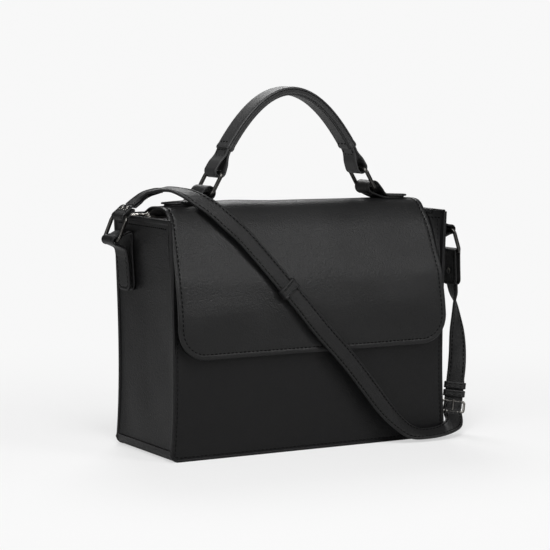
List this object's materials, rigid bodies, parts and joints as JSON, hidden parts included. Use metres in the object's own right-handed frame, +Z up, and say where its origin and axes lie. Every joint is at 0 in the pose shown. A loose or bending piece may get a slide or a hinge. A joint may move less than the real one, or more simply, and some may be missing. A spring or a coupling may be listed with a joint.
{
  "type": "top handle bag",
  "caption": "Black leather top handle bag with a hinged front flap, a zip, a padded handle on swinging rings and a long shoulder strap with a buckle",
  "frame": {"origin": "centre of the flat base where the bag rests", "axes": "x runs along the bag's width, y from front to back, z up; the flap's front faces -y"},
  "size_m": [0.3582, 0.142, 0.345],
  "materials": {
    "leather_body": "matte",
    "leather_flap": "matte",
    "leather_strap": "matte",
    "lining_cloth": "matte",
    "zip_cloth": "matte",
    "gunmetal": "satin",
    "magnet_metal": "satin",
    "board": "matte",
    "filler": "matte"
  },
  "bodies": {
    "bag": {"front_panel": "leather_body", "back_panel": "leather_body", "left_gusset": "leather_body", "right_gusset": "leather_body", "base_panel": "leather_body", "base_board": "board", "front_binding": "leather_body", "back_binding": "leather_body", "lining": "lining_cloth", "zip_tape_front": "zip_cloth", "zip_tape_back": "zip_cloth", "zip_teeth_front": "gunmetal", "zip_teeth_back": "gunmetal", "zip_stops": "gunmetal", "flap_band": "leather_body", "magnets": "magnet_metal", "side_tab_left": "leather_body", "side_tab_right": "leather_body", "shoulder_strap": "leather_strap", "strap_keeper": "leather_strap", "buckle_keeper_upper": "leather_strap", "buckle_keeper_lower": "leather_strap", "strap_tail": "leather_strap", "buckle_frame": "gunmetal"},
    "flap": {"flap_leather": "leather_flap", "flap_lining": "lining_cloth", "handle_base_left": "leather_flap", "handle_base_right": "leather_flap"},
    "handle_ring_left": {"handle_ring_left": "gunmetal"},
    "handle": {"handle_cover": "leather_flap", "handle_core": "filler", "handle_chape_left": "leather_flap", "handle_chape_right": "leather_flap"},
    "handle_ring_right": {"handle_ring_right": "gunmetal"},
    "zip_slider": {"zip_slider": "gunmetal"},
    "zip_pull": {"zip_pull": "gunmetal"},
    "strap_ring_left": {"strap_ring_left": "gunmetal"},
    "strap_end_left": {"strap_end_left": "leather_strap", "rivets_left": "gunmetal"},
    "strap_ring_right": {"strap_ring_right": "gunmetal"},
    "strap_end_right": {"strap_end_right": "leather_strap", "rivets_right": "gunmetal"}
  },
  "joints": [
    {"name": "flap_hinge", "type": "hinge", "parent": "bag", "child": "flap", "pos_m": [0, 0.036, 0.2249], "axis": [-1, 0, 0], "range_deg": [0, 110], "deforming": ["shoulder_strap", "strap_keeper"]},
    {"name": "handle_ring_left_hinge", "type": "hinge", "parent": "flap", "child": "handle_ring_left", "pos_m": [-0.0905, -0.01, 0.244], "axis": [0, 1, 0], "range_deg": [-15, 15]},
    {"name": "handle_hinge", "type": "hinge", "parent": "handle_ring_left", "child": "handle", "pos_m": [-0.0785, -0.01, 0.26478], "axis": [0, 1, 0], "range_deg": [-17.5, 17.5]},
    {"name": "handle_ring_right_hinge", "type": "hinge", "parent": "flap", "child": "handle_ring_right", "pos_m": [0.0905, -0.01, 0.244], "axis": [0, 1, 0], "range_deg": [-15.5, 15.5]},
    {"name": "zip_slide", "type": "slide", "parent": "bag", "child": "zip_slider", "axis": [1, 0, 0], "range_m": [0, 0.283]},
    {"name": "zip_pull_hinge", "type": "hinge", "parent": "zip_slider", "child": "zip_pull", "pos_m": [-0.1442, 0, 0.2267], "axis": [0, 1, 0], "range_deg": [0, 90]},
    {"name": "strap_ring_left_hinge", "type": "hinge", "parent": "bag", "child": "strap_ring_left", "pos_m": [-0.166, 0.035, 0.2005], "axis": [0, -1, 0], "range_deg": [0, 20]},
    {"name": "strap_end_left_hinge", "type": "hinge", "parent": "strap_ring_left", "child": "strap_end_left", "pos_m": [-0.15662, 0.035, 0.22259], "axis": [0, -1, 0], "range_deg": [0, 16]},
    {"name": "strap_ring_right_hinge", "type": "hinge", "parent": "bag", "child": "strap_ring_right", "pos_m": [0.166, -0.035, 0.2035], "axis": [0, -1, 0], "range_deg": [-8, 20]},
    {"name": "strap_end_right_hinge", "type": "hinge", "parent": "strap_ring_right", "child": "strap_end_right", "pos_m": [0.17342, -0.035, 0.18068], "axis": [0, -1, 0], "range_deg": [-8, 8]}
  ],
  "couplings": [
    {"joint": "handle_hinge", "follows": "handle_ring_left_hinge", "ratio": -1.151},
    {"joint": "handle_ring_right_hinge", "follows": "handle_ring_left_hinge", "ratio": 1}
  ]
}
